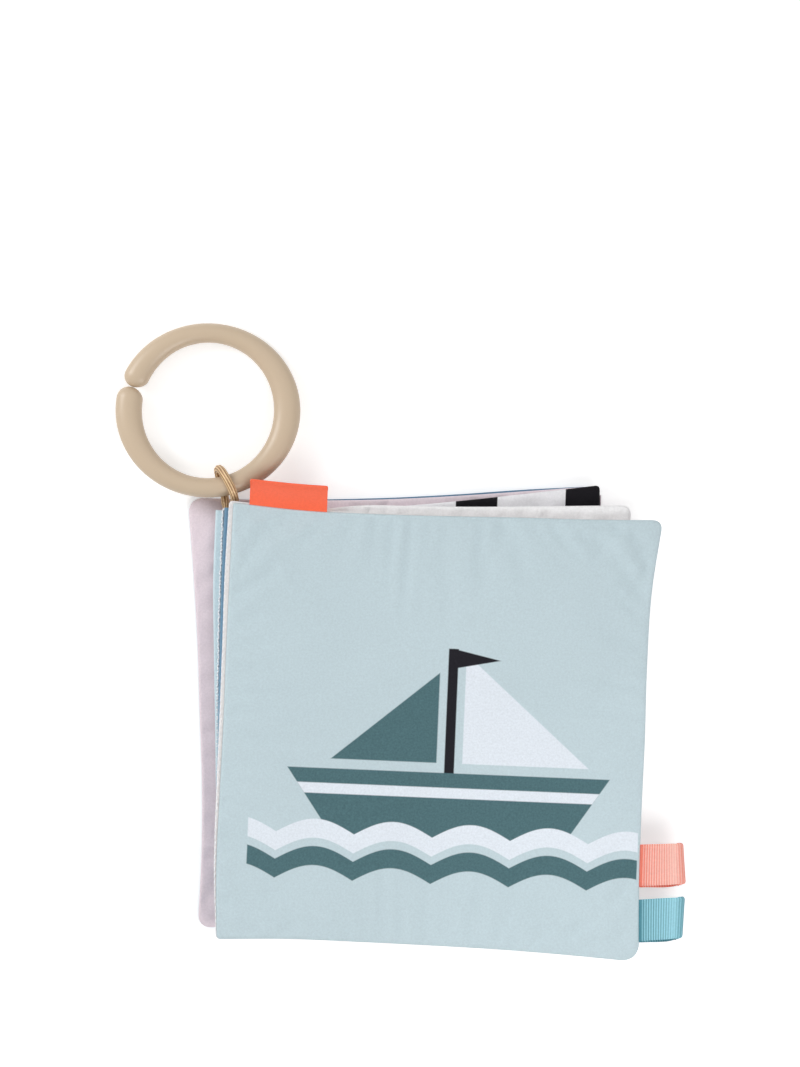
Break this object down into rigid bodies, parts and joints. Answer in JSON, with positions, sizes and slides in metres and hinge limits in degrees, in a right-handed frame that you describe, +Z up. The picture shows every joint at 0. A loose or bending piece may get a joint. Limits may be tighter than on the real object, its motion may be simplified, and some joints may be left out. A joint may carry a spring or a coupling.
{
  "type": "soft fabric book",
  "caption": "Closed soft fabric book with padded leaves, a fold-out rear page, ribbon loops, a folded label tab and an open clip ring on an elastic loop.",
  "frame": {"origin": "middle of the front cover in plan, on the flat underside of the rear page", "axes": "+Z up out of the front cover, +Y along the spine towards the clip ring, +X from the spine towards the fore-edge"},
  "size_m": [0.193, 0.201, 0.0183],
  "materials": {
    "cover_cotton": "matte woven cotton, pale blue, printed",
    "lining_cotton": "matte cotton, cream",
    "batting": "loose white polyester batting",
    "crinkle_film": "thin clear crinkled film",
    "fleece": "off-white brushed fleece",
    "check_cotton": "white cotton with printed black blocks",
    "lilac_cotton": "matte cotton, lilac",
    "dusty_blue_cotton": "matte cotton, dusty blue",
    "light_blue_tape": "cotton binding tape, light blue",
    "white_thread": "polyester sewing thread",
    "gold_elastic": "braided elastic cord with metallic yarn",
    "ring_plastic": "satin moulded plastic, beige",
    "coral_satin": "woven satin, coral",
    "coral_ribbon": "ribbed ribbon, coral",
    "teal_ribbon": "ribbed ribbon, teal"
  },
  "bodies": {
    "bound_page": {"check_page_face": "check_cotton", "check_page_back": "check_cotton", "check_page_batting": "batting", "check_page_crinkle_film": "crinkle_film", "spine_tape_lower": "light_blue_tape", "spine_stitching": "white_thread"},
    "fleece_page": {"fleece_page_face": "fleece", "fleece_page_back": "fleece", "fleece_page_batting": "batting", "spine_tape_upper": "dusty_blue_cotton"},
    "front_cover": {"front_cover_face": "cover_cotton", "front_cover_lining": "lining_cotton", "front_cover_batting": "batting", "front_cover_crinkle_film": "crinkle_film"},
    "rear_page": {"rear_page_face": "lilac_cotton", "rear_page_back": "dusty_blue_cotton", "rear_page_batting": "batting", "rear_page_crinkle_film": "crinkle_film"},
    "elastic": {"elastic_loop": "gold_elastic"},
    "ring": {"clip_ring": "ring_plastic"},
    "label": {"label_tab": "coral_satin"},
    "coral_ribbon": {"coral_ribbon_loop": "coral_ribbon"},
    "teal_ribbon": {"teal_ribbon_loop": "teal_ribbon"}
  },
  "joints": [
    {"name": "page_turn", "type": "hinge", "parent": "bound_page", "child": "fleece_page", "pos_m": [-0.0747, 0, 0.00845], "axis": [0, -1, 0], "range_deg": [0, 125]},
    {"name": "cover_turn", "type": "hinge", "parent": "fleece_page", "child": "front_cover", "pos_m": [-0.07231, 0, 0.01275], "axis": [0, 1, 0], "range_deg": [-150, 0]},
    {"name": "rear_page_unfold", "type": "hinge", "parent": "bound_page", "child": "rear_page", "pos_m": [0.0537, 0.0101, 0.00415], "axis": [0.0641, -0.9979, 0], "range_deg": [0, 170]},
    {"name": "loop_lift", "type": "hinge", "parent": "bound_page", "child": "elastic", "pos_m": [-0.0688, 0.0716, 0.00828], "axis": [1, 0, 0], "range_deg": [0, 30]},
    {"name": "ring_slide", "type": "hinge", "parent": "elastic", "child": "ring", "pos_m": [-0.0789, 0.10082, 0.00585], "axis": [-0.027, 0.0985, 0.9948], "range_deg": [-30, 60]},
    {"name": "label_flap", "type": "hinge", "parent": "front_cover", "child": "label", "pos_m": [-0.05125, 0.0711, 0.0149], "axis": [0.9993, -0.0362, 0], "range_deg": [-20, 90], "stiffness_Nm_per_rad": 0.002},
    {"name": "coral_ribbon_flap", "type": "hinge", "parent": "front_cover", "child": "coral_ribbon", "pos_m": [0.06831, -0.04001, 0.0149], "axis": [0, 1, 0], "range_deg": [-50, 50], "stiffness_Nm_per_rad": 0.002},
    {"name": "teal_ribbon_flap", "type": "hinge", "parent": "front_cover", "child": "teal_ribbon", "pos_m": [0.06872, -0.05803, 0.0149], "axis": [0, 1, 0], "range_deg": [-50, 50], "stiffness_Nm_per_rad": 0.002}
  ]
}
